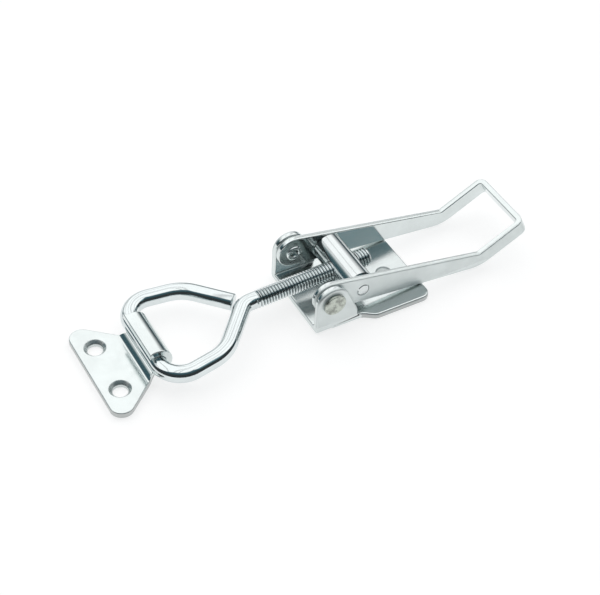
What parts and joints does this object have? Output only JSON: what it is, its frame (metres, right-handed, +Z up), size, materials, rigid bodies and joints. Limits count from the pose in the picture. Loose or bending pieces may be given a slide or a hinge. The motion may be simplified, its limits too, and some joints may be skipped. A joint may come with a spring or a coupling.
{
  "type": "over centre toggle latch",
  "caption": "Over centre toggle latch: folded base, forked lever handle, cross trunnion, threaded wire hook bolt with a loop, and a catch plate with a curled lip.",
  "frame": {"origin": "on the mounting surface, under the handle's pivot axis, on the latch's centre plane", "axes": "+X from the catch plate to the handle's free end, +Y across along the pivot axis, +Z up off the mounting surface"},
  "size_m": [0.1516, 0.0396, 0.0171],
  "materials": {
    "zinc_sheet": "bright zinc plate on folded sheet, near mirror, pale blue cast",
    "zinc_wire": "bright zinc plate on drawn wire and rolled thread",
    "zinc_bar": "bright zinc plate on turned bar",
    "rivet_steel": "duller plated rivet, greyish, satin"
  },
  "bodies": {
    "base": {"base_bracket": "zinc_sheet", "pivot_rivet_left": "rivet_steel", "pivot_rivet_right": "rivet_steel"},
    "handle": {"handle": "zinc_sheet"},
    "trunnion": {"trunnion": "zinc_bar"},
    "hook_bolt": {"hook_bolt": "zinc_wire"},
    "catch_plate": {"catch_plate": "zinc_sheet"}
  },
  "joints": [
    {"name": "handle_pivot", "type": "hinge", "parent": "base", "child": "handle", "pos_m": [0, 0, 0.0115], "axis": [0, -1, 0], "range_deg": [0, 140]},
    {"name": "trunnion_pivot", "type": "hinge", "parent": "handle", "child": "trunnion", "pos_m": [0.01217, 0, 0.00974], "axis": [0, -1, 0], "range_deg": [-140, 0]},
    {"name": "bolt_thread", "type": "slide", "parent": "trunnion", "child": "hook_bolt", "axis": [0.9992, 0, 0.0408], "range_m": [-0.003, 0.018]},
    {"name": "catch_plate_swing", "type": "hinge", "parent": "hook_bolt", "child": "catch_plate", "pos_m": [-0.05727, 0, 0.0069], "axis": [0, 1, 0], "range_deg": [-110, 150]}
  ],
  "couplings": [
    {"joint": "trunnion_pivot", "follows": "handle_pivot", "ratio": -1}
  ]
}
